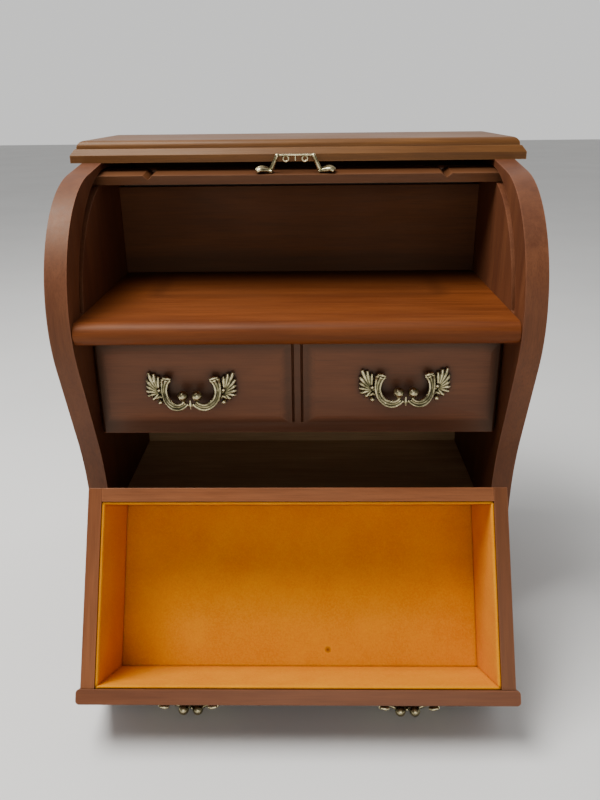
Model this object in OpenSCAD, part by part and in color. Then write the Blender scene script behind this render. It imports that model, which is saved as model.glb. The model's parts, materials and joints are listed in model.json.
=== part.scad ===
// Roll-top jewelry box: a small S-curve desk case with a rolling tambour, a shelf
// and three felt-lined drawers.  The middle drawer is out of its slot and stands on
// its front, leaning on its own pulls.  Millimetres, +Z up, front towards -Y.
// The origin lies on the underside of the base, on the centre line of the width.

/* [Case] */
// Width over the two side panels
case_w = 250; // [210:1:300]
// Thickness of a side panel
side_t = 11.5; // [8:0.5:14]
// Thickness of the shelf
shelf_t = 12; // [9:0.5:15]
// Thickness of the base board
base_t = 12; // [9:0.5:15]
// Thickness of the felt sheet under the base
base_felt_t = 2; // [1:0.5:3]
// Thickness of the back panel
back_t = 4; // [3:0.5:6]
// Thickness of the panel at the back of the open compartment
inner_back_t = 5; // [3:0.5:6]
// Distance from the origin to the front of that panel
inner_back_y = 43.5; // [36:0.5:48]
// Thickness of the partition behind the drawers
partition_t = 4; // [3:0.5:6]
// Clear height from the shelf to the underside of the top board
compartment_h = 71.5; // [64:0.5:86]

/* [Top board and base moulding] */
// Thickness of the top board
top_t = 12; // [10:0.5:15]
// Distance from the origin to the front edge of the top board
top_front_y = 8.9; // [6:0.1:12]
// How far the top and base boards stand out past the sides
overhang = 6.4; // [3:0.1:8]
// How far they stand out past the back
back_overhang = 2; // [0:0.5:4]
// Height of the plain band at the foot of the top moulding
band_h = 4.1; // [3:0.1:5]
// Height of the sloping shoulder above the band
shoulder_h = 3.4; // [2:0.1:4]
// Inset of the shoulder's upper edge
shoulder_in = 2.4; // [1:0.1:3]
// Inset of the rounded upper layer
layer_in = 3.4; // [2:0.1:4]
// Radius of the rounded upper layer and of the base board's upper edge
round_r = 4; // [3:0.1:5]

/* [Side profile] */
// How far the bulge's centre lies below the shelf's surface
arc_below = 2.3; // [0:0.1:6]
// Distance from the bulge's centre forward of the origin
arc_front = 10; // [6:0.5:14]
// Gap in height between the bulge's top and the top board
arc_gap = 3.3; // [2:0.1:5]
// Slope where the bulge meets the straight stretch, from the vertical
flank_deg = 19; // [14:1:24]
// Length of the straight stretch
flank_l = 51.2; // [40:0.1:56]
// Radius of the hollow below the straight stretch
hollow_r = 137; // [100:1:160]
// Angle above the horizontal where the bulge runs into the top's straight
crest_deg = 83; // [78:1:86]

/* [Tambour] */
// Distance from the origin back to the track's centre
track_y = 18.8; // [14:0.1:22]
// How far the track's centre lies below the shelf's surface
track_below = 14.2; // [10:0.1:18]
// Gap in height between the track's top and the top board
track_gap = 3.7; // [3:0.1:6]
// Thickness of a slat
slat_t = 5.5; // [4:0.1:6.6]
// Number of slats behind the lead rail
slat_n = 10; // [8:1:12]
// Gap between neighbouring slats
slat_gap = 0.4; // [0.2:0.1:0.8]
// Radius of a slat's crowned face
crown_r = 6; // [5:0.5:10]
// Thickness of the cloth that joins the slats
cloth_t = 0.6; // [0.4:0.1:1]
// Length of the lead rail along the track
rail_l = 20; // [16:0.5:24]
// Thickness of the lead rail
rail_t = 5.2; // [4:0.1:6]
// How deep the cloth is let into the back of the lead rail's tail
rail_lap = 0.3; // [0.1:0.1:0.6]
// Distance from the origin to the lead rail's front edge when rolled open
rail_front_y = -2; // [-6:0.5:0]
// Depth of the tambour's groove in each side panel
groove_d = 5; // [3:0.5:6]
// Distance of the rail's V-grooves from the middle
rail_v_x = 85; // [60:1:95]
// Width of a V-groove in the rail
rail_v_w = 5.6; // [4:0.1:7]
// Depth of a V-groove in the rail
rail_v_d = 2.4; // [1.5:0.1:3]

/* [Drawers] */
// Height of one drawer opening
pitch = 60.9; // [52:0.1:72]
// Length of a drawer, front included
drawer_l = 111.5; // [92:0.5:134]
// Distance from the origin forward to the drawers' faces
face_front = 54.5; // [50:0.5:56]
// Thickness of a drawer's walls
wall_t = 7.2; // [5:0.1:9]
// Thickness of a drawer's bottom board
bottom_t = 3; // [2:0.5:4]
// Thickness of the felt card lining
felt_t = 1.2; // [0.8:0.1:2]
// Thickness of the panels between the drawers
divider_t = 4.5; // [3:0.5:5]

/* [Drawer fronts] */
// Thickness of a drawer front at its raised fields
front_t = 10; // [8:0.5:12]
// How far the fields stand above the border
field_raise = 2.5; // [1.5:0.1:3]
// Width of a field's bevel
bevel_w = 4.8; // [3:0.1:6]
// Height of the flat border above and below the fields
border_h = 6.2; // [4:0.1:8]
// Width of the flat border at a front's two ends
border_w = 2; // [1:0.1:3]
// Rounding of a front board's two ends
end_r = 2; // [1:0.1:2]
// Width of the flat stile between the fields
stile_w = 10.5; // [8:0.1:14]
// Width of each groove in the stile
flute_w = 1.6; // [1:0.1:2]

/* [Pulls] */
// Distance of a pull's middle from the drawer's middle
pull_x = 58.7; // [50:0.1:66]
// Height of a pull's middle above the front's lower edge
pull_z = 28.5; // [26:0.1:32]
// Distance between a pull's two leaf plates, middle to middle
pull_span = 36; // [32:0.5:40]
// How far a pull stands out
pull_out = 9.3; // [8.5:0.1:12]
// Thickness of a pull's bar
bar_t = 3; // [2.6:0.1:3.6]
// How far the bar hangs below the pull's middle
bar_drop = 7.4; // [5:0.1:8]
// Thickness of a leaf plate
plate_t = 1.8; // [1.4:0.1:2.4]
// Radius of the larger lobe of a leaf plate
plate_r = 8.2; // [7:0.1:9]
// Radius of a pull's pin
pin_r = 0.9; // [0.7:0.05:1.1]

/* [Fits] */
// Running clearance between moving pieces
run_gap = 0.4; // [0.3:0.05:0.6]
// Gap between a drawer front and its opening, above and below
front_gap_z = 0.7; // [0.5:0.05:1]
// Gap between a drawer front and the side panels
front_gap_x = 1.1; // [0.5:0.05:1.5]
// How much narrower than its front a drawer's body is, each side
body_in = 2; // [1:0.1:3.5]
// Gap between the lead rail's edge and the shelf when shut
shut_gap = 1.3; // [0.8:0.1:2]
// Clearance around a pin in its bore
pin_gap = 0.05; // [0.03:0.01:0.1]

/* [Hidden] */
$fn = 64;
eps = 0.01;

// Levels
base_top = base_felt_t + base_t;
drawer_n = 3;
shelf_low = base_top + drawer_n * pitch;
shelf_top = shelf_low + shelf_t;
top_low = shelf_top + compartment_h;
inner_x = case_w / 2 - side_t;

// Bulge, flank and hollow of the side panels, as points of the Y-Z plane
arc_y = -arc_front;
arc_z = shelf_top - arc_below;
arc_r = top_low - arc_gap - arc_z;
flank_top = [arc_y - arc_r * cos(flank_deg), arc_z - arc_r * sin(flank_deg)];
flank_end = flank_top + flank_l * [sin(flank_deg), -cos(flank_deg)];
foot_y = flank_end[0] + hollow_r * (1 - cos(flank_deg));
foot_z = flank_end[1] - hollow_r * sin(flank_deg);
crest = [arc_y - arc_r * cos(crest_deg), arc_z + arc_r * sin(crest_deg)];
bulge_y = arc_y - arc_r;

// Track of the tambour: angles are measured from the front horizontal, upwards
track_z = shelf_top - track_below;
track_r = top_low - track_gap - track_z;
inner_r = track_r - slat_t;
end_round = min(end_r, border_w);
// Where under the lead rail the cloth begins, as a share of its length
cloth_from = 0.6;
open_deg = acos((track_y - rail_front_y) / track_r);
shut_deg = asin((track_below + shut_gap) / track_r);
cover_deg = acos((track_y - top_front_y) / track_r);
span_deg = cover_deg - shut_deg;
rail_deg = rail_l / track_r * 180 / PI;
slat_deg = (span_deg - rail_deg) / slat_n;
slat_w = inner_r * slat_deg * PI / 180 - slat_gap;
tail_deg = open_deg + span_deg;
tail_y = track_y - track_r * cos(tail_deg);
tail_room = 4;
back_y = tail_y + tail_room + back_t;
slat_l = 2 * (inner_x + groove_d - run_gap);
cloth_l = 2 * (inner_x - 2);
rail_face_r = sqrt(pow(track_r, 2) - pow(rail_l / 2, 2));
rail_mid = open_deg + rail_deg / 2;

// The panel behind the compartment stops under the tambour's inner face
inner_back_top = track_z - 3 * run_gap
    + sqrt(pow(inner_r - cloth_t, 2) - pow(inner_back_y + inner_back_t - track_y, 2));

// Dowels between the sides and the top, screws between the base and the sides
dowel_r = 2.2;
dowel_l = 14;
dowel_sink = 6;
dowel_x = case_w / 2 - (side_t - groove_d) / 2;
dowel_y = [24, 54, 84];
screw_r = 1.7;
screw_head_r = 3.2;
screw_l = 22;
screw_y = [-34, 22, 78];

// Drawer body
face_y = -face_front;
front_w = 2 * (inner_x - front_gap_x);
front_h = pitch - 2 * front_gap_z;
body_w = front_w - 2 * body_in;
body_low = 3.5;
body_head = 0.7;
body_top = front_h - body_head;
floor_low = body_low + 0.5;
floor_top = floor_low + bottom_t;
cavity_w = body_w - 2 * wall_t;
cavity_l = drawer_l - front_t - wall_t;
divider_y = face_y + front_t + 1;
partition_y = face_y + drawer_l + 1.5;
runner_h = front_gap_z + body_low - run_gap;

// Raised fields of a drawer front
panel_w = (front_w - stile_w) / 2 - border_w;
panel_h = front_h - 2 * border_h;
panel_x = (stile_w + panel_w) / 2;
flute_x = 2.5;
flute_d = 1;

// Pull bar, an arc that runs into both plates
grip_z = pull_z - bar_drop - bar_t / 2;
bar_rise = pull_out - bar_t / 2 - plate_t / 2;

// Tambour pull
rail_pull_span = 36;
rail_pull_out = 10;
rail_pull_in = 5.2;
rail_plate_r = 4;
rail_bar_t = 2.6;

// The removed drawer stands on its front's lower edge and its two pull bars
lean_deg = atan((pull_out + field_raise) / grip_z);
stand_y = -99.9;

DRAWER_PARTS = ["front", "left_wall", "right_wall", "back_wall", "bottom", "floor_felt",
                "wall_felt", "left_pull", "right_pull", "pull_pins"];
DRAWERS = ["upper", "middle", "lower"];
SLATS = [for (i = [1 : slat_n]) str("slat_", i < 10 ? "0" : "", i)];

// ---------------------------------------------------------------- helpers

// A shape drawn in the Y-Z plane, extruded along X and centred on it
module along_x(length) {
    rotate([90, 0, 90])
        translate([0, 0, -length / 2])
            linear_extrude(height = length) children();
}

// A shape drawn in the X-Z plane, extruded along +Y from y0 to y1
module along_y(y0, y1) {
    translate([0, y1, 0])
        rotate([90, 0, 0])
            linear_extrude(height = y1 - y0) children();
}

module block(x0, x1, y0, y1, z0, z1) {
    translate([x0, y0, z0]) cube([x1 - x0, y1 - y0, z1 - z0]);
}

module ring2d(outer, inner) {
    difference() {
        circle(r = outer, $fn = 96);
        circle(r = inner, $fn = 96);
    }
}

// Places children on the track: X stays, +Y runs back along the track, +Z outwards
module on_track(angle, radius) {
    translate([0, track_y, track_z])
        rotate([90 - angle, 0, 0])
            translate([0, 0, radius]) children();
}

// ---------------------------------------------------------------- case

module side2d() {
    difference() {
        union() {
            translate([arc_y, arc_z]) circle(r = arc_r, $fn = 128);
            polygon([flank_top, flank_end, [foot_y, foot_z], [foot_y, base_top],
                     [back_y, base_top], [back_y, top_low], [top_front_y, top_low],
                     crest, [arc_y, arc_z]]);
        }
        translate([foot_y - hollow_r, foot_z]) circle(r = hollow_r, $fn = 160);
    }
}

// Groove for the slats' ends, open above the shelf at the front
module groove2d() {
    intersection() {
        translate([track_y, track_z])
            ring2d(track_r + run_gap, inner_r - run_gap);
        union() {
            translate([track_y - 2 * track_r, shelf_top]) square([2 * track_r, 2 * track_r]);
            translate([track_y - 1, track_z + track_r * sin(tail_deg) - 4])
                square([2 * track_r, 2 * track_r]);
        }
    }
}

module side_panel(sign) {
    color("sienna")
    difference() {
        translate([sign * (inner_x + side_t / 2), 0, 0]) along_x(side_t) side2d();
        translate([sign * (inner_x + groove_d / 2 - eps), 0, 0])
            along_x(groove_d + 2 * eps) groove2d();
        for (y = dowel_y)
            translate([sign * dowel_x, y, top_low - dowel_l + dowel_sink])
                cylinder(r = dowel_r + pin_gap, h = dowel_l);
        for (y = screw_y)
            translate([sign * (inner_x + side_t / 2), y, base_top - eps])
                cylinder(r = screw_r + pin_gap, h = screw_l - base_t + 1);
    }
}

module side_left() { side_panel(-1); }
module side_right() { side_panel(1); }

// Half outline of the top board's moulding, from the middle to its edge
module moulding2d(half_w) {
    band_top = band_h + shoulder_h;
    polygon([[0, 0], [half_w, 0], [half_w, band_h],
             [half_w - shoulder_in, band_top], [0, band_top]]);
    difference() {
        square([half_w - layer_in, top_t]);
        translate([half_w - layer_in - round_r, top_t - round_r])
            difference() {
                square([2 * round_r, 2 * round_r]);
                circle(r = round_r);
            }
    }
}

module base2d(half_w) {
    difference() {
        square([half_w, base_t]);
        translate([half_w - round_r, base_t - round_r])
            difference() {
                square([2 * round_r, 2 * round_r]);
                circle(r = round_r);
            }
    }
}

// A board with moulded front and ends: the two extruded outlines meet in mitres
module moulded_board(front_edge, back_edge) {
    half_w = case_w / 2 + overhang;
    intersection() {
        along_y(front_edge - 1, back_edge) {
            children(0);
            mirror([1, 0]) children(0);
        }
        translate([0, back_edge, 0])
            mirror([0, 1, 0]) along_x(2 * half_w + 2) children(1);
    }
}

module top_board() {
    back_edge = back_y + back_overhang;
    color("peru")
    difference() {
        translate([0, 0, top_low])
            moulded_board(top_front_y, back_edge) {
                moulding2d(case_w / 2 + overhang);
                moulding2d(back_edge - top_front_y);
            }
        for (s = [-1, 1]) for (y = dowel_y)
            translate([s * dowel_x, y, top_low - eps])
                cylinder(r = dowel_r + pin_gap, h = dowel_sink + 0.2);
    }
}

module top_dowels() {
    color("burlywood")
    for (s = [-1, 1]) for (y = dowel_y)
        translate([s * dowel_x, y, top_low - dowel_l + dowel_sink + 0.1])
            cylinder(r = dowel_r, h = dowel_l - 0.1);
}

module base_board() {
    back_edge = back_y + back_overhang;
    front_edge = foot_y - overhang;
    color("sienna")
    difference() {
        translate([0, 0, base_felt_t])
            moulded_board(front_edge, back_edge) {
                base2d(case_w / 2 + overhang);
                base2d(back_edge - front_edge);
            }
        for (s = [-1, 1]) for (y = screw_y)
            translate([s * (inner_x + side_t / 2), y, base_felt_t - eps]) {
                cylinder(r = screw_r + pin_gap, h = base_t + 1);
                cylinder(r = screw_head_r + pin_gap, h = 2.2);
            }
    }
}

module base_screws() {
    color("silver")
    for (s = [-1, 1]) for (y = screw_y)
        translate([s * (inner_x + side_t / 2), y, base_felt_t + 0.1]) {
            cylinder(r = screw_head_r, h = 2);
            cylinder(r = screw_r, h = screw_l);
        }
}

module base_felt() {
    inset = 3;
    color("darkgreen")
    block(-case_w / 2 - overhang + inset, case_w / 2 + overhang - inset,
          foot_y - overhang + inset, back_y + back_overhang - inset, 0, base_felt_t);
}

module shelf() {
    nose_r = shelf_t / 2;
    color("chocolate")
    along_x(2 * inner_x) {
        translate([bulge_y + 0.6 + nose_r, shelf_low + nose_r]) circle(r = nose_r);
        translate([bulge_y + 0.6 + nose_r, shelf_low])
            square([partition_y + partition_t - bulge_y - 0.6 - nose_r, shelf_t]);
    }
}

module inner_back() {
    color("saddlebrown")
    block(-inner_x, inner_x, inner_back_y, inner_back_y + inner_back_t,
          shelf_top, inner_back_top);
}

module back_panel() {
    color("saddlebrown")
    block(-inner_x, inner_x, back_y - back_t, back_y, base_top, top_low);
}

module rear_partition() {
    color("saddlebrown")
    block(-inner_x, inner_x, partition_y, partition_y + partition_t, base_top, shelf_low);
}

// Panel under drawer opening number i, counted from the bottom
module divider(i) {
    top = base_top + i * pitch + runner_h;
    color("saddlebrown")
    block(-inner_x, inner_x, divider_y, partition_y, top - divider_t, top);
}

module divider_upper() { divider(2); }
module divider_lower() { divider(1); }

module drawer_runners() {
    runner_w = 12;
    color("burlywood")
    for (s = [-1, 1])
        translate([s * (inner_x - runner_w / 2) - runner_w / 2, divider_y, base_top])
            cube([runner_w, partition_y - divider_y, runner_h]);
}

// ---------------------------------------------------------------- tambour

module slat(i) {
    color("sienna")
    on_track(open_deg + rail_deg + (i - 0.5) * slat_deg, inner_r)
        along_x(slat_l)
            intersection() {
                translate([-slat_w / 2, 0]) square([slat_w, slat_t]);
                translate([0, slat_t - crown_r]) circle(r = crown_r);
            }
}

// Half the lead rail's length at a depth below its face: its ends are radial
function rail_half(down) =
    (rail_face_r - down) * tan(rail_deg / 2) - slat_gap / 2;

// Section of the lead rail below its face; its tail always reaches the cloth
module rail_section() {
    tail_t = max(rail_t, rail_face_r - inner_r + rail_lap);
    tail = rail_face_r * tan(rail_deg * (cloth_from - 0.5));
    polygon([[-rail_half(rail_t), -rail_t], [rail_half(rail_t), -rail_t],
             [rail_half(0), 0], [-rail_half(0), 0]]);
    polygon([[tail, -tail_t], [rail_half(tail_t), -tail_t], [rail_half(0), 0], [tail, 0]]);
}

// The lead rail lies on the track as a chord; the cloth is let into its back
module lead_rail() {
    color("chocolate")
    difference() {
        on_track(rail_mid, rail_face_r)
            along_x(slat_l) rail_section();
        translate([0, track_y, track_z]) along_x(slat_l + 2) circle(r = inner_r, $fn = 96);
        on_track(rail_mid, rail_face_r)
            for (s = [-1, 1])
                along_y(-rail_l, rail_l)
                    translate([s * rail_v_x, 0])
                        polygon([[-rail_v_w / 2 - eps, eps], [rail_v_w / 2 + eps, eps],
                                 [0, -rail_v_d]]);
        on_track(rail_mid, rail_face_r)
            for (s = [-1, 1])
                translate([s * rail_pull_span / 2, rail_pull_in - rail_l / 2, -3.2])
                    cylinder(r = pin_r + pin_gap, h = 4);
    }
}

module tambour_cloth() {
    a0 = open_deg + rail_deg * cloth_from;
    a1 = tail_deg - 0.4;
    reach = 2 * track_r;
    color("tan")
    translate([0, track_y, track_z])
        along_x(cloth_l)
            intersection() {
                ring2d(inner_r - eps, inner_r - cloth_t);
                polygon([[0, 0], reach * [-cos(a0), sin(a0)],
                         reach * [-cos((a0 + a1) / 2), sin((a0 + a1) / 2)],
                         reach * [-cos(a1), sin(a1)]]);
            }
}

// An arched bar in the X-Y plane, standing out towards -Y, thick in Z
module bow(span, rise, bar) {
    radius = (pow(span / 2, 2) + pow(rise, 2)) / (2 * rise);
    translate([0, 0, -bar / 2])
        linear_extrude(height = bar)
            intersection() {
                translate([0, radius - rise]) ring2d(radius + bar / 2, radius - bar / 2);
                translate([-span, -rise - bar]) square([2 * span, rise + bar]);
            }
}

module tambour_pull() {
    color("darkkhaki")
    on_track(rail_mid, rail_face_r)
        translate([0, rail_pull_in - rail_l / 2, 0])
            rotate([-90, 0, 0]) {
                for (s = [-1, 1])
                    translate([s * rail_pull_span / 2, 0, 0])
                        rotate([90, 0, 0]) {
                            cylinder(r = rail_plate_r, h = plate_t);
                            translate([0, 0, plate_t - eps]) cylinder(r = 1.6, h = 1);
                        }
                translate([0, -plate_t / 2, 0])
                    bow(rail_pull_span, rail_pull_out - rail_bar_t / 2 - plate_t / 2, rail_bar_t);
            }
}

module tambour_pull_pins() {
    color("silver")
    on_track(rail_mid, rail_face_r)
        for (s = [-1, 1])
            translate([s * rail_pull_span / 2, rail_pull_in - rail_l / 2, -3])
                cylinder(r = pin_r, h = 3);
}

// ---------------------------------------------------------------- drawers
// A drawer's own frame: X across, Y = 0 at the fields' faces and back from there,
// Z = 0 at the front's lower edge.

module frustum(w, h) {
    flat_x = w / 2 - bevel_w;
    flat_z = h / 2 - bevel_w;
    intersection() {
        translate([0, 0, -h / 2])
            linear_extrude(height = h)
                polygon([[-w / 2, field_raise + eps], [-flat_x, 0], [flat_x, 0],
                         [w / 2, field_raise + eps]]);
        along_x(w)
            polygon([[field_raise + eps, -h / 2], [0, -flat_z], [0, flat_z],
                     [field_raise + eps, h / 2]]);
    }
}

module rounded2d(w, y0, y1, r) {
    translate([-w / 2 + r, y0]) square([w - 2 * r, y1 - y0]);
    translate([-w / 2, y0 + r]) square([w, y1 - y0 - 2 * r]);
    for (s = [-1, 1]) for (y = [y0 + r, y1 - r])
        translate([s * (w / 2 - r), y]) circle(r = r);
}

module drawer_front() {
    difference() {
        union() {
            linear_extrude(height = front_h)
                rounded2d(front_w, field_raise, front_t, end_round);
            for (s = [-1, 1])
                translate([s * panel_x, 0, front_h / 2]) frustum(panel_w, panel_h);
        }
        for (s = [-1, 1])
            translate([s * flute_x, field_raise, border_h])
                linear_extrude(height = panel_h)
                    polygon([[-flute_w / 2, -eps], [flute_w / 2, -eps], [0, flute_d]]);
        for (p = [-1, 1]) for (s = [-1, 1])
            translate([p * pull_x + s * pull_span / 2, -eps, pull_z])
                rotate([-90, 0, 0]) cylinder(r = pin_r + pin_gap, h = front_t - 1.4);
    }
}

module drawer_wall(sign) {
    x = sign * (body_w - wall_t) / 2;
    difference() {
        block(x - wall_t / 2, x + wall_t / 2, front_t, drawer_l, body_low, body_top);
        drawer_bottom(run_gap / 2);
    }
}

module drawer_back() {
    difference() {
        block(-cavity_w / 2, cavity_w / 2, drawer_l - wall_t, drawer_l, body_low, body_top);
        drawer_bottom(run_gap / 2);
    }
}

// The bottom board, let 2.5 mm into the walls; spare is the groove's clearance
module drawer_bottom(spare = 0) {
    let_in = 2.5;
    block(-cavity_w / 2 - let_in - spare, cavity_w / 2 + let_in + spare,
          front_t + (spare > 0 ? -eps : 0), front_t + cavity_l + let_in + spare,
          floor_low - spare / 4, floor_top + spare / 4);
}

module drawer_floor_felt() {
    block(-cavity_w / 2 + 0.2, cavity_w / 2 - 0.2, front_t + 0.2, front_t + cavity_l - 0.2,
          floor_top + 0.15, floor_top + felt_t + 0.15);
}

// Four felt cards standing on the floor card, mitred where they meet
module drawer_wall_felt() {
    low = floor_top + felt_t + 0.2;
    high = body_top - 1;
    reach = cavity_w / 2 - 0.1;
    mid_y = front_t + cavity_l / 2;
    half_l = cavity_l / 2 - 0.1;
    for (s = [-1, 1])
        translate([0, 0, low])
            linear_extrude(height = high - low)
                polygon([[s * reach, mid_y - half_l + 0.1], [s * reach, mid_y + half_l - 0.1],
                         [s * (reach - felt_t), mid_y + half_l - felt_t - 0.1],
                         [s * (reach - felt_t), mid_y - half_l + felt_t + 0.1]]);
    for (s = [-1, 1])
        translate([0, 0, low])
            linear_extrude(height = high - low)
                polygon([[-reach + 0.1, mid_y + s * half_l], [reach - 0.1, mid_y + s * half_l],
                         [reach - felt_t - 0.1, mid_y + s * (half_l - felt_t)],
                         [-reach + felt_t + 0.1, mid_y + s * (half_l - felt_t)]]);
}

module leaf_plate(sign) {
    tip_r = 5.6;
    rotate([90, 0, 0])
        linear_extrude(height = plate_t) {
            translate([0, -1.5]) circle(r = plate_r);
            translate([sign * 2.2, 6]) circle(r = tip_r);
        }
}

module drawer_pull(side) {
    translate([side * pull_x, 0, pull_z]) {
        for (s = [-1, 1])
            translate([s * pull_span / 2, 0, 0]) {
                leaf_plate(s);
                translate([0, -plate_t + eps, 0])
                    rotate([90, 0, 0]) cylinder(r = 2, h = 1.2);
            }
        translate([0, -plate_t / 2, -bar_drop]) bow(pull_span, bar_rise, bar_t);
    }
}

module drawer_pull_pins() {
    for (p = [-1, 1]) for (s = [-1, 1])
        translate([p * pull_x + s * pull_span / 2, 0, pull_z])
            rotate([-90, 0, 0]) cylinder(r = pin_r, h = front_t - 1.6);
}

// Where each drawer is: two in their openings, the middle one standing on its front
module place_drawer(name) {
    if (name == "middle")
        translate([0, stand_y, 0])
            rotate([90 - lean_deg, 0, 0])
                translate([0, -field_raise, 0]) children();
    else
        translate([0, face_y, base_top + front_gap_z + (name == "upper" ? 2 : 0) * pitch])
            children();
}

module drawer_part(name, p) {
    place_drawer(name) {
        if (p == "front") color("sienna") drawer_front();
        if (p == "left_wall") color("peru") drawer_wall(-1);
        if (p == "right_wall") color("peru") drawer_wall(1);
        if (p == "back_wall") color("peru") drawer_back();
        if (p == "bottom") color("burlywood") drawer_bottom();
        if (p == "floor_felt") color("orange") drawer_floor_felt();
        if (p == "wall_felt") color("orange") drawer_wall_felt();
        if (p == "left_pull") color("darkkhaki") drawer_pull(-1);
        if (p == "right_pull") color("darkkhaki") drawer_pull(1);
        if (p == "pull_pins") color("silver") drawer_pull_pins();
    }
}

// ---------------------------------------------------------------- nodes

side_left();
side_right();
top_board();
shelf();
inner_back();
back_panel();
rear_partition();
divider_upper();
divider_lower();
drawer_runners();
base_board();
base_felt();
top_dowels();
base_screws();
lead_rail();
tambour_cloth();
tambour_pull();
tambour_pull_pins();
for (i = [1 : slat_n])
    slat(i);
for (d = DRAWERS) for (p = DRAWER_PARTS)
    drawer_part(d, p);
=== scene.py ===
"""Looks of the roll-top jewelry box: woods, felt linings, cast pulls, light and camera.

Everything is in metres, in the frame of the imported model; sizes of castings are in
millimetres in their tables and scaled once.
"""
import json
import math

import bpy
import numpy as np
from mathutils import Matrix, Vector, noise


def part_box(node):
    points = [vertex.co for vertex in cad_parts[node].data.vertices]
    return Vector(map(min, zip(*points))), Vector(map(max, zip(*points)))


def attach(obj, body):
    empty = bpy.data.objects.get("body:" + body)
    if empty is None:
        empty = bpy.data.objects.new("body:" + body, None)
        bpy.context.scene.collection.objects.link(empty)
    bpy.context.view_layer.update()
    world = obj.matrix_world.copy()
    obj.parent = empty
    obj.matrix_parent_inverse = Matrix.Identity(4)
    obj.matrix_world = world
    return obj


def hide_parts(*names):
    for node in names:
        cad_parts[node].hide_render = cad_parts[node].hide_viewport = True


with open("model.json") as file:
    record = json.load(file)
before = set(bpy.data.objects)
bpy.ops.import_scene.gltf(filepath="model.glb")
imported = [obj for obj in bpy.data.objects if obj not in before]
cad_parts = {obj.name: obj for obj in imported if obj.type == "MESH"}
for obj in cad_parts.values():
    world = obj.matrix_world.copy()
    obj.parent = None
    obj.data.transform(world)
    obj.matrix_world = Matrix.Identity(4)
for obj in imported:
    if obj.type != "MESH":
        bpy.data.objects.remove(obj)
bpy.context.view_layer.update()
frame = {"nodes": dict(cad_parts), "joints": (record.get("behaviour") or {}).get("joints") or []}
NODES = frame["nodes"]
JOINTS = {j["name"]: j for j in frame["joints"]}
MM = 0.001
DRAWERS = ("upper", "middle", "lower")
SLATS = sorted(n for n in NODES if n.startswith("slat_"))


# ---------------------------------------------------------------- camera and light

LENS = 32.73
CAMERA_AT = Vector((0.0087, -0.4312, 0.3119))
CAMERA_DOWN = 22.29
CAMERA_TURN = 1.11
CAMERA_ROLL = -0.64


def make_camera():
    down, turn, roll = (math.radians(a) for a in (CAMERA_DOWN, CAMERA_TURN, CAMERA_ROLL))
    ahead = Vector((-math.sin(turn) * math.cos(down), math.cos(turn) * math.cos(down), -math.sin(down)))
    level = ahead.cross(Vector((0, 0, 1))).normalized()
    up = level.cross(ahead)
    across = level * math.cos(roll) + up * math.sin(roll)
    upright = up * math.cos(roll) - level * math.sin(roll)
    data = bpy.data.cameras.new("camera")
    data.lens = LENS
    data.sensor_width = 36
    data.clip_start = 0.01
    camera = bpy.data.objects.new("camera", data)
    bpy.context.scene.collection.objects.link(camera)
    turned = Matrix((across, upright, -ahead)).transposed()
    camera.matrix_world = Matrix.Translation(CAMERA_AT) @ turned.to_4x4()
    bpy.context.scene.camera = camera


def area_light(name, at, aim, size, power, colour):
    data = bpy.data.lights.new(name, "AREA")
    data.shape = "RECTANGLE"
    data.size, data.size_y = size
    data.energy = power
    data.color = colour
    lamp = bpy.data.objects.new(name, data)
    bpy.context.scene.collection.objects.link(lamp)
    lamp.location = at
    lamp.rotation_euler = (Vector(aim) - Vector(at)).to_track_quat("-Z", "Y").to_euler()


def make_lights():
    """A pale room, brighter behind the box than in front of it, and a soft light overhead."""
    world = bpy.data.worlds.new("studio")
    bpy.context.scene.world = world
    world.use_nodes = True
    tree = world.node_tree
    sky = tree.nodes["Background"]
    sky.inputs["Strength"].default_value = 1.0
    direction = tree.nodes.new("ShaderNodeTexCoord")
    parts = tree.nodes.new("ShaderNodeSeparateXYZ")
    tree.links.new(direction.outputs["Generated"], parts.inputs["Vector"])
    shade = tree.nodes.new("ShaderNodeValToRGB")
    shade.color_ramp.elements[0].position = 0.30
    shade.color_ramp.elements[0].color = (0.17, 0.165, 0.16, 1)
    shade.color_ramp.elements[1].position = 0.80
    shade.color_ramp.elements[1].color = (0.86, 0.86, 0.85, 1)
    backwards = tree.nodes.new("ShaderNodeMath")  # from -1..1 along Y to 0..1
    backwards.operation = "MULTIPLY_ADD"
    backwards.inputs[1].default_value = 0.5
    backwards.inputs[2].default_value = 0.5
    tree.links.new(parts.outputs["Y"], backwards.inputs[0])
    tree.links.new(backwards.outputs[0], shade.inputs["Fac"])
    tree.links.new(shade.outputs["Color"], sky.inputs["Color"])
    area_light("overhead", at=(-0.40, -0.20, 1.15), aim=(0, -0.03, 0.1), size=(0.7, 0.5),
               power=21.0, colour=(1.0, 0.985, 0.95))
    area_light("front", at=(0.10, -1.3, 0.40), aim=(0, 0, 0.12), size=(0.9, 0.5),
               power=3.6, colour=(1.0, 0.97, 0.93))


# ---------------------------------------------------------------- materials

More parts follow.
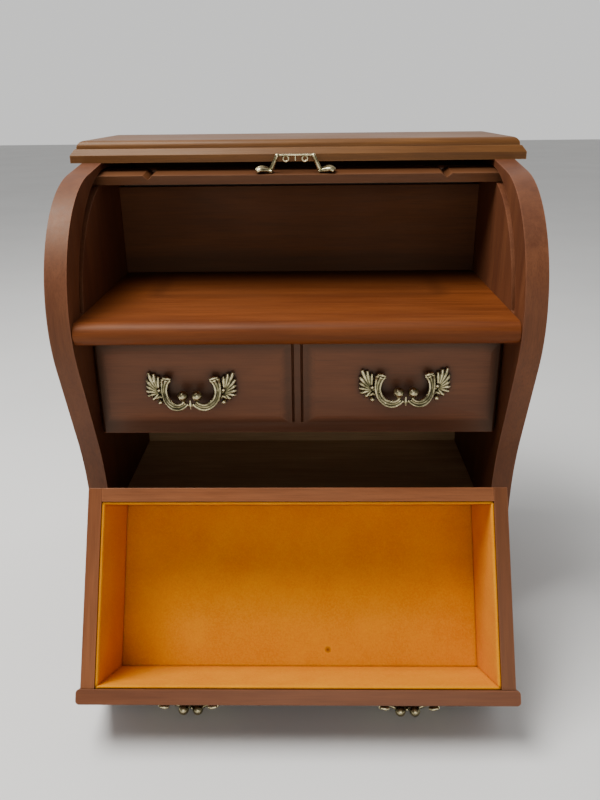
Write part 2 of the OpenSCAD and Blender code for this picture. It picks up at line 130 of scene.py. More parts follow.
class Shader:
    """A node tree being built, with short calls for the nodes that are used."""

    def __init__(self, name):
        self.material = bpy.data.materials.new(name)
        self.material.use_nodes = True
        self.tree = self.material.node_tree
        self.surface = self.tree.nodes["Principled BSDF"]

    def put(self, socket, value):
        if isinstance(value, bpy.types.NodeSocket):
            self.tree.links.new(value, socket)
        else:
            socket.default_value = value

    def node(self, kind, **inputs):
        made = self.tree.nodes.new(kind)
        for key, value in inputs.items():
            self.put(made.inputs[key], value)
        return made

    def coords(self, stretch=(1, 1, 1), turn=0.0, shift=(0, 0, 0)):
        """The object's own coordinates, turned about X, shifted, then stretched."""
        texture = self.tree.nodes.new("ShaderNodeTexCoord")
        turned = self.node("ShaderNodeMapping", Vector=texture.outputs["Object"],
                           Rotation=(turn, 0, 0), Location=shift)
        stretched = self.node("ShaderNodeMapping", Vector=turned.outputs["Vector"], Scale=stretch)
        return stretched.outputs["Vector"]

    def along(self, axis, turn=0.0):
        """The place along one axis of the object's own coordinates."""
        return self.node("ShaderNodeSeparateXYZ", Vector=self.coords(turn=turn)).outputs[axis]

    def noise(self, vector, scale, detail=3.0, rough=0.5, warp=0.0):
        return self.node("ShaderNodeTexNoise", Vector=vector, Scale=scale, Detail=detail,
                         Roughness=rough, Distortion=warp).outputs["Fac"]

    def ramp(self, factor, *stops):
        made = self.node("ShaderNodeValToRGB", Fac=factor)
        bar = made.color_ramp.elements
        while len(bar) < len(stops):
            bar.new(0.5)
        for element, (at, colour) in zip(bar, stops):
            element.position = at
            element.color = (*colour, 1)
        return made.outputs["Color"]

    def levels(self, factor, low, high, out_low=0.0, out_high=1.0):
        made = self.node("ShaderNodeMapRange", Value=factor)
        for key, value in zip(("From Min", "From Max", "To Min", "To Max"), (low, high, out_low, out_high)):
            made.inputs[key].default_value = value
        return made.outputs["Result"]

    def mix(self, factor, a, b):
        made = self.tree.nodes.new("ShaderNodeMix")
        made.data_type = "RGBA"
        self.put(made.inputs[0], factor)
        for socket, colour in ((made.inputs[6], a), (made.inputs[7], b)):
            self.put(socket, colour if isinstance(colour, bpy.types.NodeSocket) else (*colour, 1))
        return made.outputs[2]

    def math(self, operation, a, b=0.5):
        made = self.tree.nodes.new("ShaderNodeMath")
        made.operation = operation
        self.put(made.inputs[0], a)
        self.put(made.inputs[1], b)
        return made.outputs[0]

    def blend(self, a, b, share):
        return self.math("ADD", self.math("MULTIPLY", a, 1 - share), self.math("MULTIPLY", b, share))

    def bump(self, height, distance, strength):
        made = self.node("ShaderNodeBump", Height=height, Distance=distance, Strength=strength)
        return made.outputs["Normal"]

    def edges(self, radius, low=0.02, high=0.3):
        """1 along sharp convex edges, 0 on flats."""
        soft = self.node("ShaderNodeBevel", Radius=radius)
        soft.samples = 6
        flat = self.tree.nodes.new("ShaderNodeNewGeometry")
        dot = self.tree.nodes.new("ShaderNodeVectorMath")
        dot.operation = "DOT_PRODUCT"
        self.put(dot.inputs[0], soft.outputs["Normal"])
        self.put(dot.inputs[1], flat.outputs["Normal"])
        return self.levels(self.math("SUBTRACT", 1.0, dot.outputs["Value"]), low, high)

    def patch(self, centre, half, soft, turn=0.0):
        """1 inside a rounded rectangle about a place in X and Y, 0 outside it."""
        place = self.node("ShaderNodeSeparateXYZ", Vector=self.coords(turn=turn)).outputs
        far = []
        for axis, middle, reach in zip((place["X"], place["Y"]), centre, half):
            gone = self.math("ABSOLUTE", self.math("SUBTRACT", axis, middle))
            over = self.math("MAXIMUM", self.math("SUBTRACT", gone, reach), 0.0)
            far.append(self.math("POWER", over, 2.0))
        away = self.math("SQRT", self.math("ADD", *far))
        return self.levels(away, soft * 0.2, soft, 1.0, 0.0)

    def finish(self, **inputs):
        for key, value in inputs.items():
            self.put(self.surface.inputs[key.replace("_", " ")], value)
        return self.material


def darker(colour, share):
    return tuple(c * share for c in colour)


PAINTED_SHADE = 0.10    # how dark the painted shade in corners and sunk borders is beside the wood's light tone
SHADE = 0.12   # the same, for wood that light and cloths never reach
GLOSS_TINT = (1.0, 0.80, 0.60, 1)


class Wood(Shader):
    """Stained wood with long grain along one axis, after a turn about X."""

    def __init__(self, name, dark, light, grain="x", turn=0.0, seed=0.0):
        super().__init__(name)
        self.light = light
        along = "xyz".index(grain)
        shift = (seed, seed * 0.7, seed * 1.3)

        def grained(length):
            return self.coords(tuple(length if i == along else 1.0 for i in range(3)), turn, shift)

        broad = self.noise(grained(0.13), 62, 4, 0.55, 0.6)
        self.streak = self.noise(grained(0.045), 420, 5, 0.62)
        self.fibre = self.noise(grained(0.03), 1900, 2)
        self.cloud = self.noise(self.coords((1, 1, 1), turn, shift), 17, 2)
        figured = self.blend(broad, self.streak, 0.4)
        base = self.mix(self.levels(figured, 0.36, 0.66), dark, light)
        base = self.mix(self.levels(self.fibre, 0.45, 0.75, 0, 0.4), base, darker(dark, 0.5))
        self.base = self.mix(self.levels(self.cloud, 0.3, 0.75, 0, 0.36), base, darker(light, 0.6))

    # Mixes painted shade in, by a factor, towards a darkened copy of the light tone
    def with_painted_shade(self, factor):
        self.base = self.mix(factor, self.base, darker(self.light, PAINTED_SHADE))
        return self

    def wear(self, amount, radius=0.0012):
        rubbed = self.math("MULTIPLY", self.edges(radius), self.levels(self.cloud, 0.35, 0.7, 0.15, amount))
        bare = tuple(min(1.0, c * k + 0.02) for c, k in zip(self.light, (1.7, 1.8, 1.9)))
        self.base = self.mix(rubbed, self.base, bare)
        return self

    def painted_corner_shade(self, amount, reach):
        """Painted shade: darker in corners and grooves, where less light reaches."""
        corners = self.node("ShaderNodeAmbientOcclusion", Distance=reach)
        corners.samples = 8
        return self.with_painted_shade(self.levels(corners.outputs["AO"], 0.97, 0.5, 0.0, amount))

    def framed(self, turn, face, amount):
        """Painted shade on the bevels and the flat border that lie just behind a front's raised fields."""
        depth = self.along("Y", turn)
        sunk = self.levels(depth, face + 0.0006, face + 0.0021, 0.0, amount)
        ahead_of_ends = self.levels(depth, face + 0.0027, face + 0.0032, 1.0, 0.0)
        return self.with_painted_shade(self.math("MULTIPLY", sunk, ahead_of_ends))

    def shaded(self, axis, clear, deep, amount):
        """Painted shade, darker towards one place along an axis."""
        dark = self.levels(self.along(axis), clear, deep, 0.0, amount)
        self.base = self.mix(dark, self.base, darker(self.light, SHADE))
        return self

    def done(self, rough=0.42, coat=0.12, relief=0.35, shine=0.38):
        gloss = self.levels(self.blend(self.streak, self.cloud, 0.5), 0.3, 0.7, rough - 0.07, rough + 0.1)
        height = self.blend(self.streak, self.fibre, 0.3)
        return self.finish(Base_Color=self.base, Roughness=gloss, Normal=self.bump(height, 0.00022, relief),
                           Coat_Weight=coat, Coat_Roughness=0.3, Specular_IOR_Level=shine,
                           Specular_Tint=GLOSS_TINT)


def felt(name, colour, deep, pale, turn=0.0):
    s = Shader(name)
    field = s.coords(turn=turn)
    mottle = s.noise(field, 48, 3)
    wool = s.noise(field, 900, 4, 0.7)
    fuzz = s.noise(s.coords((1, 0.35, 1), turn), 2600, 3, 0.6)
    base = s.mix(s.levels(mottle, 0.3, 0.75, 0.25, 0.75), deep, colour)
    base = s.mix(s.levels(wool, 0.42, 0.75, 0, 0.4), base, pale)
    base = s.mix(s.levels(fuzz, 0.5, 0.8, 0, 0.3), base, darker(deep, 0.6))
    height = s.blend(wool, fuzz, 0.3)
    return s, base, height


def finished_felt(s, base, height):
    return s.finish(Base_Color=base, Roughness=0.97, Normal=s.bump(height, 0.0004, 0.6),
                    Specular_IOR_Level=0.03, Sheen_Weight=0.02, Sheen_Roughness=0.5)


def lining_felt(name, turn=0.0, spot=None):
    """Orange card felt, with a small dark spot on it where one is asked for."""
    s, base, height = felt(name, (0.74, 0.285, 0.0), (0.60, 0.178, 0.0), (0.81, 0.42, 0.001), turn)
    if spot:
        mark = s.node("ShaderNodeVectorMath", **{"Vector": s.coords()})
        mark.operation = "DISTANCE"
        mark.inputs[1].default_value = spot
        base = s.mix(s.levels(mark.outputs["Value"], 0.0006, 0.0022, 0.85, 0.0), base, (0.11, 0.015, 0.0))
    return finished_felt(s, base, height)


def green_felt(name):
    return finished_felt(*felt(name, (0.03, 0.085, 0.045), (0.015, 0.05, 0.025), (0.06, 0.14, 0.08)))


def backing_weave(name):
    s = Shader(name)
    field = s.coords()
    threads = []
    for axis in ("X", "Y"):
        wave = s.node("ShaderNodeTexWave", Vector=field, Scale=420, Distortion=0.6)
        wave.bands_direction = axis
        threads.append(wave.outputs["Fac"])
    cloth = s.math("MULTIPLY", *threads)
    soil = s.noise(field, 40)
    colour, deep = (0.32, 0.26, 0.17), (0.16, 0.12, 0.075)
    base = s.mix(s.levels(cloth, 0.05, 0.6), deep, colour)
    base = s.mix(s.levels(soil, 0.4, 0.8, 0, 0.4), base, deep)
    return s.finish(Base_Color=base, Roughness=0.9, Normal=s.bump(cloth, 0.0003, 0.6), Sheen_Weight=0.2)


def antique_brass(name):
    s = Shader(name)
    field = s.coords()
    shape = s.tree.nodes.new("ShaderNodeNewGeometry")
    raised = s.levels(shape.outputs["Pointiness"], 0.47, 0.53)
    patina = s.noise(field, 260, 4, 0.6)
    grime = s.noise(field, 1100, 3, 0.6)
    rubbed = s.math("ADD", raised, s.levels(patina, 0.35, 0.75, -0.2, 0.25))
    base = s.ramp(rubbed, (0.0, (0.030, 0.028, 0.014)), (0.45, (0.155, 0.137, 0.064)),
                  (0.95, (0.72, 0.64, 0.39)))
    gloss = s.levels(s.math("SUBTRACT", grime, s.math("MULTIPLY", raised, 0.3)), 0.0, 0.7, 0.2, 0.42)
    return s.finish(Base_Color=base, Metallic=1.0, Roughness=gloss, Normal=s.bump(grime, 0.0001, 0.35))


def plain_steel(name):
    s = Shader(name)
    brushed = s.noise(s.coords((1, 1, 0.1)), 1500)
    base = s.mix(s.levels(brushed, 0.3, 0.7), (0.33, 0.33, 0.34), (0.6, 0.6, 0.6))
    return s.finish(Base_Color=base, Metallic=1.0, Roughness=s.levels(brushed, 0.3, 0.7, 0.3, 0.5))


def floor_white(name):
    s = Shader(name)
    tone = s.noise(s.coords(), 4)
    base = s.mix(s.levels(tone, 0.3, 0.7), (0.74, 0.74, 0.735), (0.78, 0.78, 0.775))
    return s.finish(Base_Color=base, Roughness=0.9, Specular_IOR_Level=0.1)


# ---------------------------------------------------------------- mesh helpers

def new_object(name, verts, faces, material, body=None, smooth=True):
    mesh = bpy.data.meshes.new(name)
    mesh.from_pydata([tuple(v) for v in verts], [], faces)
    mesh.update()
    made = bpy.data.objects.new(name, mesh)
    bpy.context.scene.collection.objects.link(made)
    made.data.materials.append(material)
    mesh.polygons.foreach_set("use_smooth", [smooth] * len(mesh.polygons))
    if body:
        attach(made, body)
    return made


def apply_modifiers(piece):
    graph = bpy.context.evaluated_depsgraph_get()
    done = bpy.data.meshes.new_from_object(piece.evaluated_get(graph))
    piece.modifiers.clear()
    piece.data = done


def soften_edges(piece, width, segments=2, angle=32):
    """A small round on every sharp edge, as modifiers, so the mesh itself stays as it is."""
    weld = piece.modifiers.new("weld", "WELD")
    weld.merge_threshold = 0.02 * MM
    flat = piece.modifiers.new("flat", "DECIMATE")
    flat.decimate_type = "DISSOLVE"
    flat.angle_limit = math.radians(0.4)
    bevel = piece.modifiers.new("round", "BEVEL")
    bevel.width = width
    bevel.segments = segments
    bevel.limit_method = "ANGLE"
    bevel.angle_limit = math.radians(angle)
    bevel.harden_normals = True
    piece.data.polygons.foreach_set("use_smooth", [True] * len(piece.data.polygons))
    normals = piece.modifiers.new("normals", "WEIGHTED_NORMAL")
    normals.keep_sharp = True


def smooth_line(points, steps):
    """A smooth curve through the points, with that many steps for each span."""
    pts = [np.array(p, float) for p in points]
    pts = [2 * pts[0] - pts[1]] + pts + [2 * pts[-1] - pts[-2]]
    line = []
    for a, b, c, d in zip(pts, pts[1:], pts[2:], pts[3:]):
        for k in range(steps):
            t = k / steps
            line.append(0.5 * (2 * b + (c - a) * t + (2 * a - 5 * b + 4 * c - d) * t ** 2
                               + (3 * b - a - 3 * c + d) * t ** 3))
    line.append(pts[-2])
    return line


def tube(points, sides=12, steps=6):
    """Verts and faces of a round tube with closed ends; each point is (x, y, z, radius)."""
    line = smooth_line(points, steps)
    verts, faces = [], []
    across = np.array((0.31, 0.22, 0.93))
    for i, p in enumerate(line):
        ahead = line[min(i + 1, len(line) - 1)][:3] - line[max(i - 1, 0)][:3]
        ahead = ahead / (np.linalg.norm(ahead) + 1e-12)
        across = across - ahead * np.dot(across, ahead)
        across = across / (np.linalg.norm(across) + 1e-12)
        other = np.cross(ahead, across)
        for k in range(sides):
            a = 2 * math.pi * k / sides
            verts.append(p[:3] + max(p[3], 0.05) * (math.cos(a) * across + math.sin(a) * other))
    last = (len(line) - 1) * sides
    for first in range(0, last, sides):
        for k in range(sides):
            n = (k + 1) % sides
            faces.append((first + k, first + n, first + sides + n, first + sides + k))
    faces.append(tuple(range(sides - 1, -1, -1)))
    faces.append(tuple(range(last, last + sides)))
    return verts, faces


def ball(at, radius, squash=(1, 1, 1), rings=12, sides=20):
    verts, faces = [], []
    for i in range(rings + 1):
        a = math.pi * i / rings
        for k in range(sides):
            b = 2 * math.pi * k / sides
            unit = (math.sin(a) * math.cos(b), math.sin(a) * math.sin(b), math.cos(a))
            verts.append(np.array([at[j] + radius * squash[j] * unit[j] for j in range(3)]))
    for i in range(rings):
        for k in range(sides):
            n = (k + 1) % sides
            faces.append((i * sides + k, (i + 1) * sides + k, (i + 1) * sides + n, i * sides + n))
    return verts, faces


def plate(outline, low, high):
    """A flat plate in the X-Z plane between two distances out of the drawer's face."""
    verts = [np.array((x, -y, z)) for y in (low, high) for x, z in outline]
    count = len(outline)
    faces = [tuple(range(count)), tuple(range(2 * count - 1, count - 1, -1))]
    faces += [(i, (i + 1) % count, count + (i + 1) % count, count + i) for i in range(count)]
    return verts, faces


def joined(parts):
    verts, faces = [], []
    for v, f in parts:
        first = len(verts)
        verts += list(v)
        faces += [tuple(i + first for i in face) for face in f]
    return verts, faces


# ---------------------------------------------------------------- cast pulls
# One half of a drawer pull, in millimetres: X from the pull's middle, then the
# distance out of the drawer's face, then Z up, then a radius.  The other half mirrors it.

HUB = (18.0, -0.6)
LEAF_TIPS = [(18.0, 9.0), (20.6, 10.6), (23.4, 11.2), (24.6, 7.2), (24.7, 3.9), (25.0, 0.8),
             (24.6, -2.2), (21.6, -4.7)]
LEAF_BACK = [(17.0, 7.8), (20.4, 9.9), (23.3, 10.6), (24.2, 6.6), (24.3, 0.4), (23.6, -2.2), (21.2, -4.4),
             (17.2, -3.4), (16.4, -0.8)]
ARM_IN = [(11.1, 4.2, 7.7, 0.9), (12.5, 3.9, 5.6, 0.7), (13.5, 3.7, 2.6, 0.65), (13.5, 3.8, -0.4, 0.7),
          (12.3, 4.7, -3.3, 0.8), (10.0, 6.0, -5.2, 0.85), (7.1, 7.2, -5.7, 0.85), (4.4, 7.8, -4.5, 0.8),
          (3.2, 7.9, -2.4, 0.8)]
ARM_OUT = [(14.9, 3.8, 8.6, 1.1), (15.7, 3.1, 5.8, 0.75), (16.0, 2.8, 2.6, 0.7), (15.8, 3.0, -0.9, 0.75),
           (14.5, 3.9, -4.6, 0.9), (12.0, 5.4, -7.2, 0.95), (9.0, 6.7, -8.5, 0.95), (6.0, 7.4, -8.3, 0.9),
           (3.2, 7.8, -6.7, 0.8), (1.3, 7.9, -4.8, 0.75)]
ARM_MIDDLE = [(13.0, 3.4, 7.8, 1.5), (14.0, 2.9, 5.2, 1.15), (14.7, 2.6, 2.4, 1.15), (14.6, 2.6, -0.8, 1.2),
              (13.4, 3.5, -3.9, 1.4), (11.0, 4.9, -6.1, 1.5), (8.0, 6.1, -7.0, 1.5), (5.0, 6.9, -6.2, 1.3),
              (2.6, 7.2, -4.6, 1.1)]
STEM = [(15.2, 3.0, -3.4, 0.85), (17.2, 2.0, -2.6, 0.9), (19.0, 1.9, -3.3, 0.9), (21.2, 1.5, -4.8, 0.7)]
END_BALL = (3.9, 7.9, -0.1, 2.9)
DROP_BALL = (17.7, 1.7, -6.2, 1.45)
NAIL = (17.9, 2.3, 1.3, 1.25)
STOUT = 1.14  # how much stouter the scrolls are cast than their lines above


def half_pull(side):
    def mirrored(points):
        return [(side * p[0], -p[1], *p[2:]) for p in points]

    parts = [plate([(side * x, z) for x, z in LEAF_BACK], 0.0, 1.3)]
    for x, z in LEAF_TIPS:
        dx, dz = x - HUB[0], z - HUB[1]
        bow = 0.12 if dz > 2 else -0.05
        rib = [(HUB[0] + dx * t + bow * dz * t * (1 - t), 1.0 + rise, HUB[1] + dz * t, r)
               for t, rise, r in ((0.1, 0.6, 0.55), (0.4, 0.85, 0.9), (0.75, 0.75, 1.25), (1.0, 0.35, 0.95))]
        parts.append(tube(mirrored(rib), 10, 5))
    for line in (ARM_IN, ARM_OUT, ARM_MIDDLE, STEM):
        parts.append(tube([(*p[:3], p[3] * STOUT) for p in mirrored(line)], 12, 6))
    for x, out, z, radius in (END_BALL, DROP_BALL, NAIL):
        parts.append(ball((side * x, -out, z), radius))
    tip = [(10.6, 4.4, 8.2, 0.8), (12.6, 4.4, 8.9, 1.1), (15.2, 4.0, 9.3, 0.7)]
    parts.append(tube(mirrored(tip), 10, 4))
    return parts


def small_half(side):
    """Half of the tambour's pull: a ribbed foot, a leg, and scrolls hung from the top bar."""
    def mirrored(points):
        return [(side * p[0], -p[1], *p[2:]) for p in points]

    parts = []
    for reach, spread in ((5.6, -3.6), (6.4, -1.3), (6.4, 1.3), (5.6, 3.6)):
        rib = [(15.6, 1.2, spread * 0.4, 1.2), (16.2 + reach * 0.6, 1.9, spread * 0.8, 1.35),
               (16.2 + reach, 1.1, spread, 1.0)]
        parts.append(tube(mirrored(rib), 10, 4))
    parts.append(tube(mirrored([(13.2, 0.8, -2.6, 0.8), (16.5, 0.9, 0, 1.3), (13.2, 0.8, 2.6, 0.8)]), 10, 4))
    parts.append(tube(mirrored([(14.6, 0.8, 0, 1.5), (13.4, 2.6, 0, 1.35), (12.0, 5.6, 0, 1.2),
                                (10.8, 8.0, 0, 1.3), (10.0, 9.1, 0, 1.1)]), 12, 5))
    parts.append(tube(mirrored([(10.4, 9.0, 0, 0.9), (6.0, 9.35, 0, 0.65), (0.0, 9.3, 0, 0.65)]), 10, 4))
    ring = [(5.4 + 1.55 * math.cos(a), 7.4 + 1.55 * math.sin(a), 0, 0.62)
            for a in np.linspace(0.5 * math.pi, 2.45 * math.pi, 11)]
    parts.append(tube(mirrored(ring), 10, 3))
    parts.append(ball((side * 10.4, -8.9, 0), 1.35))
    return parts


def casting(name, parts, material):
    """Parts fused into one cast mesh, in metres, with its back at Y = 0."""
    verts, faces = joined(parts)
    cast = new_object(name, [v * MM for v in verts], faces, material)
    fused = cast.modifiers.new("fuse", "REMESH")
    fused.mode = "VOXEL"
    fused.voxel_size = 0.00024
    fused.use_smooth_shade = True
    ease = cast.modifiers.new("ease", "SMOOTH")
    ease.factor = 0.5
    ease.iterations = 2
    apply_modifiers(cast)
    mesh = cast.data
    bpy.data.objects.remove(cast)
    back = max(v.co.y for v in mesh.vertices)
    mesh.transform(Matrix.Translation((0, -back, 0)))
    mesh.materials.clear()
    mesh.materials.append(material)
    return mesh


def place_casting(name, mesh, body, node, place):
    own = mesh.copy()
    own.transform(place)
    piece = bpy.data.objects.new(name, own)
    bpy.context.scene.collection.objects.link(piece)
    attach(piece, body)
    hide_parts(node)


# ---------------------------------------------------------------- where things are

UPPER_LOW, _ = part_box("upper_drawer_front")
PULL_X = 58.7 * MM
PULL_Z = 28.5 * MM
RAIL_PULL_IN = 5.2 * MM   # from the lead rail's front edge to its pull
RAIL_L = 20 * MM
TRACK_R = 82 * MM


def drawer_turn():
    """Turn about X from a drawer in its opening to the one that stands, from a wall's two boxes."""
    own_low, own_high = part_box("upper_drawer_left_wall")
    low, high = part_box("middle_drawer_left_wall")
    long, tall = own_high.y - own_low.y, own_high.z - own_low.z
    depth, height = high.y - low.y, high.z - low.z
    return math.atan2(height * long - depth * tall, depth * long - height * tall)


def drawer_places():
    """Each drawer's own frame: X across, Y back from the fields' faces, Z up from the front's foot."""
    places = {}
    for name in ("upper", "lower"):
        low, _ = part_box(f"{name}_drawer_front")
        places[name] = Matrix.Translation((0, low.y, low.z))
    turned = Matrix.Rotation(TURN, 4, "X")
    base = Vector((0, UPPER_LOW.y, UPPER_LOW.z))
    own_low, own_high = (Vector(p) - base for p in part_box("upper_drawer_back_wall"))
    corners = [turned @ Vector((0, y, z)) for y in (own_low.y, own_high.y) for z in (own_low.z, own_high.z)]
    low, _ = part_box("middle_drawer_back_wall")
    places["middle"] = Matrix.Translation((0, low.y - min(c.y for c in corners),
                                           low.z - min(c.z for c in corners))) @ turned
    return places


def rail_frame():
    """The lead rail's own frame at its middle: X across, Y back along its face, Z out of it."""
    pivot = Vector(JOINTS["tambour_roll"]["pos_m"])
    rail_low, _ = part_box("lead_rail")
    start = math.acos((pivot.y - rail_low.y) / TRACK_R)
    middle = start + RAIL_L / TRACK_R / 2
    face = math.sqrt(TRACK_R ** 2 - (RAIL_L / 2) ** 2)
    return (Matrix.Translation(pivot) @ Matrix.Rotation(math.pi / 2 - middle, 4, "X")
            @ Matrix.Translation((0, 0, face)))


TURN = drawer_turn()
PLACES = drawer_places()
TURNS = {"upper": 0.0, "middle": -TURN, "lower": 0.0}


# ---------------------------------------------------------------- felt lining

def slab(place, steps):
    """A closed thin slab: place(u, v, layer) gives the points of its two faces."""
    nu, nv = steps
    verts = [place(i / nu, j / nv, layer) for layer in (0, 1) for j in range(nv + 1) for i in range(nu + 1)]
    faces = []
    row, whole = nu + 1, (nu + 1) * (nv + 1)
    for j in range(nv):
        for i in range(nu):
            k = j * row + i
            faces.append((k, k + row, k + row + 1, k + 1))
            faces.append((whole + k, whole + k + 1, whole + k + row + 1, whole + k + row))
    rim = ([i for i in range(row)] + [j * row + nu for j in range(1, nv + 1)]
           + [nv * row + i for i in range(nu - 1, -1, -1)] + [j * row for j in range(nv - 1, 0, -1)])
    for p, q in zip(rim, rim[1:] + rim[:1]):
        faces.append((p, q, whole + q, whole + p))
    return verts, faces


def card(corners, away, thick, steps, ripple, seed):
    """A thin slab on four corners, thick away from them, its free face slightly uneven."""
    a, b, c, d = (Vector(p) for p in corners)
    away = Vector(away)

    def place(u, v, layer):
        p = a.lerp(b, u).lerp(d.lerp(c, u), v)
        if not layer:
            return p
        edge = min(1.0, 8 * min(u, 1 - u), 8 * min(v, 1 - v))
        return p + away * (thick + ripple * edge * noise.noise(p * 45 + Vector((seed, 0, 0))))

    return slab(place, steps)


FELT_T = 1.2 * MM
CARD_RIPPLE = 0.35 * MM
CARD_STEP = 2.4 * MM


def line_drawer(name, material):
    """The floor card and the four wall cards of one drawer."""
    place = PLACES[name]
    base = Vector((0, UPPER_LOW.y, UPPER_LOW.z))
    floor_low, floor_high = (Vector(p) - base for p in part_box("upper_drawer_floor_felt"))
    wall_low, wall_high = (Vector(p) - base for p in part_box("upper_drawer_wall_felt"))
    flat = [(floor_low.x, floor_low.y), (floor_high.x, floor_low.y),
            (floor_high.x, floor_high.y), (floor_low.x, floor_high.y)]
    verts, faces = card([(x, y, floor_low.z) for x, y in flat], (0, 0, 1), FELT_T, (90, 42), CARD_RIPPLE, 3.1)
    floor = new_object(f"{name}_floor_card", [place @ v for v in verts], faces, material, f"{name}_drawer")
    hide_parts(f"{name}_drawer_floor_felt")
    parts = []
    spare = 0.1 * MM
    sides = [((wall_low.x, wall_low.y), (wall_high.x, wall_low.y), (0, 1, 0)),
             ((wall_high.x, wall_low.y), (wall_high.x, wall_high.y), (-1, 0, 0)),
             ((wall_high.x, wall_high.y), (wall_low.x, wall_high.y), (0, -1, 0)),
             ((wall_low.x, wall_high.y), (wall_low.x, wall_low.y), (1, 0, 0))]
    for k, ((x0, y0), (x1, y1), away) in enumerate(sides):
        run = Vector((x1 - x0, y1 - y0, 0)).normalized()
        ends = (run.x * spare, run.y * spare)
        low = [(x0 + ends[0], y0 + ends[1]), (x1 - ends[0], y1 - ends[1])]
        corners = [(*low[0], wall_low.z), (*low[1], wall_low.z),
                   (*low[1], wall_high.z), (*low[0], wall_high.z)]
        steps = (max(24, int(abs(x1 - x0 + y1 - y0) / CARD_STEP)), 20)
        v, f = card(corners, away, FELT_T, steps, CARD_RIPPLE, 11.0 + k)
        parts.append((mitred(v, run, away, Vector((x0, y0, 0)), Vector((x1, y1, 0))), f))
    verts, faces = joined(parts)
    walls = new_object(f"{name}_wall_cards", [place @ v for v in verts], faces, material, f"{name}_drawer")
    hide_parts(f"{name}_drawer_wall_felt")


def mitred(verts, run, away, start, end):
    """Draws in a card's free face at both ends, so neighbouring cards meet in mitres."""
    out = []
    away = Vector(away)
    for v in verts:
        depth = (v - start).dot(away)
        along = (v - start).dot(run)
        whole = (end - start).length
        low, high = depth, whole - depth
        out.append(v + run * (min(max(along, low), high) - along))
    return out


# ---------------------------------------------------------------- build

def dress(node, material, round_edge=0.0004, segments=2):
    piece = NODES[node]
    piece.data.materials.clear()
    piece.data.materials.append(material)
    soften_edges(piece, round_edge, segments)


def make_floor():
    reach = 6.0
    level = -0.0004
    corners = [(x, y, level) for x, y in ((-reach, -reach), (reach, -reach), (reach, reach), (-reach, reach))]
    new_object("floor", corners, [(0, 1, 2, 3)], floor_white("floor_paint"), smooth=False)


def shelf_stain_and_shade(name, dark, light):
    """Shelf wood with a darker patch where a lined tray has stood, and painted shade towards its back."""
    s = Wood(name, dark, light, "x", seed=2.2)
    middle = (0.0, 0.008)
    tray = s.patch(middle, (0.078, 0.024), 0.012)
    inside = s.patch(middle, (0.074, 0.020), 0.010)
    rim = s.math("MULTIPLY", tray, s.math("SUBTRACT", 1.0, inside))
    s.base = s.mix(s.math("MULTIPLY", tray, 0.30), s.base, darker(light, 0.42))
    s.base = s.mix(s.math("MULTIPLY", rim, 0.55), s.base, darker(dark, 0.5))
    _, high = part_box("shelf")
    # painted shade towards the back, where the top board shadows the shelf
    return s.shaded("Y", high.y - 0.085, high.y - 0.025, 0.7).wear(0.7).done(0.52, 0.02, shine=0.22)


def dress_case():
    side = Wood("side_wood", (0.085, 0.025, 0.011), (0.152, 0.051, 0.021), "z", seed=0.3)
    side = side.wear(0.5, 0.0016).done(0.52, 0.02, shine=0.34)
    top = Wood("top_wood", (0.080, 0.027, 0.006), (0.155, 0.060, 0.013), "x", seed=1.1)
    top = top.wear(0.9, 0.0014).done(0.46, 0.05, shine=0.30)
    panel_tones = (0.066, 0.020, 0.006), (0.118, 0.038, 0.011)
    panel = Wood("panel_wood", *panel_tones, "x", seed=3.1).done(0.6, 0.0, shine=0.30)
    foot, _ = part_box("inner_back")
    inner = Wood("inner_back_wood", *panel_tones, "x", seed=3.1)
    # painted shade along the inner back's foot, just above the shelf
    inner = inner.shaded("Z", foot.z + 0.016, foot.z + 0.009, 0.45).done(0.6, 0.0, shine=0.30)
    bare = Wood("bare_wood", (0.36, 0.22, 0.11), (0.55, 0.38, 0.21), "x", seed=8.8).done(0.6, 0)
    for node in ("side_left", "side_right"):
        dress(node, side, 0.0010, 3)
    dress("top_board", top, 0.0005)
    dress("shelf", shelf_stain_and_shade("shelf_wood", (0.098, 0.021, 0.004), (0.178, 0.046, 0.009)), 0.0005)
    dress("base_board", side, 0.0005)
    dress("inner_back", inner, 0.0003)
    dress("back_panel", panel, 0.0003)
    for node in ("rear_partition", "divider_upper", "divider_lower", "drawer_runners", "top_dowels"):
        dress(node, bare, 0.0003)
    dress("base_screws", plain_steel("screw_steel"), 0.0001)
    return bare


def dress_tambour():
    slat = Wood("slat_wood", (0.085, 0.027, 0.012), (0.15, 0.054, 0.024), "x", seed=5.2).wear(0.6).done()
    rail = Wood("rail_wood", (0.085, 0.028, 0.010), (0.155, 0.057, 0.020), "x", seed=9.4).wear(0.9)
    # painted shade in the rail's grooves and corners
    rail = rail.painted_corner_shade(0.5, 0.012).done()
    for node in SLATS:
        dress(node, slat, 0.0005)
    dress("lead_rail", rail, 0.0004)
    dress("tambour_pull_pins", plain_steel("pin_steel"), 0.0001)


BOX_TONES = (0.14, 0.040, 0.013), (0.24, 0.078, 0.026)


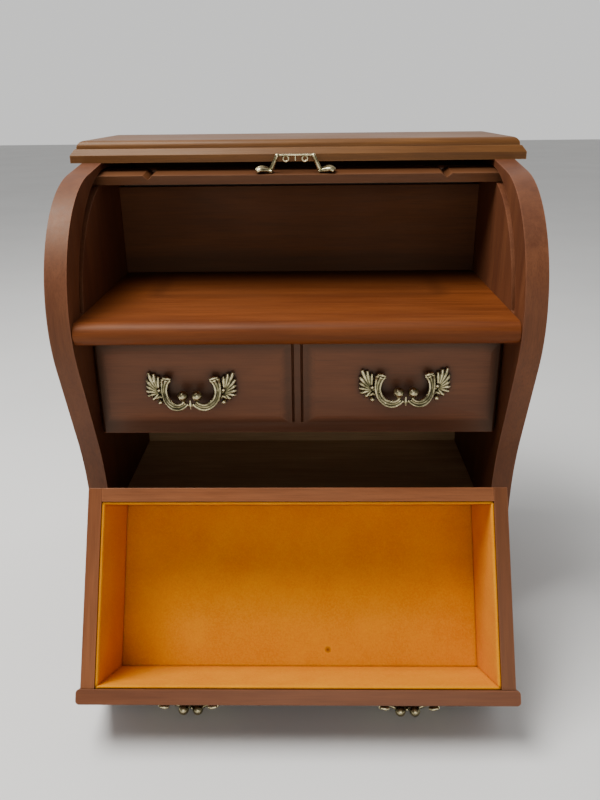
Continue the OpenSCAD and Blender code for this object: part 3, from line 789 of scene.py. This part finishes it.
def dress_drawers(bare):
    steel = plain_steel("drawer_pin_steel")
    for name in DRAWERS:
        turn = TURNS[name]
        front = Wood(f"{name}_front_wood", (0.108, 0.031, 0.012), (0.175, 0.056, 0.022), "x", turn, 4.7)
        face = (Matrix.Rotation(turn, 3, "X") @ PLACES[name].translation).y
        # painted shade on the sunk borders and bevels round the raised fields
        front = front.framed(turn, face, 0.5)
        # painted shade in corners and grooves and under the shelf's nosing, then wear on the edges
        dress(f"{name}_drawer_front", front.painted_corner_shade(0.95, 0.014).wear(0.8).done(), 0.0006, 3)
        back = Wood(f"{name}_back_wood", *BOX_TONES, "x", turn, 6.3)
        dress(f"{name}_drawer_back_wall", back.wear(0.7).done(), 0.0007, 3)
        for side, tone, seed in (("left", 1.0, 7.9), ("right", 0.72, 2.6)):
            tones = (darker(colour, tone) for colour in BOX_TONES)
            wall = Wood(f"{name}_{side}_wall_wood", *tones, "y", turn, seed)
            dress(f"{name}_drawer_{side}_wall", wall.wear(0.7).done(), 0.0007, 3)
        dress(f"{name}_drawer_bottom", bare, 0.0003)
        dress(f"{name}_drawer_pull_pins", steel, 0.0001)


def back_the_tambour():
    """The cloth behind the slats: one slightly uneven sheet bent round the track."""
    pivot = Vector(JOINTS["tambour_roll"]["pos_m"])
    low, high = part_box("tambour_cloth")
    polar = [(math.hypot(v.co.y - pivot.y, v.co.z - pivot.z), math.atan2(v.co.z - pivot.z, pivot.y - v.co.y))
             for v in NODES["tambour_cloth"].data.vertices]
    turns = [a % (2 * math.pi) for _, a in polar]
    start, end = min(turns), max(turns)
    outer, inner = max(r for r, _ in polar), min(r for r, _ in polar)

    def place(u, v, layer):
        x = low.x + (high.x - low.x) * u
        a = start + (end - start) * v
        slack = 0.00006 * noise.noise(Vector((x * 60, a * 12, 1.7)))
        r = outer - 0.00003 if layer else inner + 0.00008 + slack
        return Vector((x, pivot.y - r * math.cos(a), pivot.z + r * math.sin(a)))

    verts, faces = slab(place, (60, 120))
    sheet = new_object("tambour_cloth_sheet", verts, faces, backing_weave("backing_cloth"), "tambour")
    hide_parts("tambour_cloth")


def soft_sheets():
    green = green_felt("green_felt")
    low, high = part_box("base_felt")
    foot = [(x, y, high.z) for x, y in ((low.x, low.y), (low.x, high.y), (high.x, high.y), (high.x, low.y))]
    verts, faces = card(foot, (0, 0, -1), high.z - low.z, (60, 90), 0.0, 0.0)
    pad = new_object("base_felt_sheet", verts, faces, green, "cabinet")
    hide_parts("base_felt")
    spot = PLACES["middle"] @ Vector((0.0167, 0.0205, 0.0090))
    for name in DRAWERS:
        material = lining_felt(f"{name}_lining", TURNS[name], tuple(spot) if name == "middle" else None)
        line_drawer(name, material)
    back_the_tambour()


# Each pull's shift in millimetres and lean in degrees
HUNG = (("left", -1, (-0.1, -1.6), 0.0), ("right", 1, (0.6, 0.0), -1.2))


def hang_pulls():
    brass = antique_brass("antique_brass")
    bridge = tube([(-2.4, -7.6, -5.4, 0.9), (0, -7.4, -5.9, 1.1), (2.4, -7.6, -5.4, 0.9)], 10, 4)
    drop = tube([(0, -7.8, -2.6, 0.5), (0, -8.0, -5.0, 0.75), (0, -7.6, -8.0, 0.55)], 10, 4)
    drawer_pull = casting("drawer_pull", half_pull(1) + half_pull(-1) + [bridge, drop], brass)
    stroke = tube([(0, -9.0, 0, 0.55), (0, -6.2, 0, 0.6)], 10, 4)
    tambour_pull = casting("small_pull", small_half(1) + small_half(-1) + [stroke], brass)
    for name in DRAWERS:
        for side, sign, shift, lean in HUNG:
            at = (sign * PULL_X + shift[0] * MM, 0, PULL_Z + shift[1] * MM)
            place = PLACES[name] @ Matrix.Translation(at) @ Matrix.Rotation(math.radians(lean), 4, "Y")
            place_casting(f"{name}_{side}_casting", drawer_pull, f"{name}_drawer",
                          f"{name}_drawer_{side}_pull", place)
    place = (rail_frame() @ Matrix.Translation((-0.8 * MM, RAIL_PULL_IN - RAIL_L / 2, 0))
             @ Matrix.Rotation(-math.pi / 2, 4, "X"))
    place_casting("tambour_casting", tambour_pull, "tambour", "tambour_pull", place)


make_camera()
make_lights()
make_floor()
bare_wood = dress_case()
dress_tambour()
dress_drawers(bare_wood)
soft_sheets()
hang_pulls()
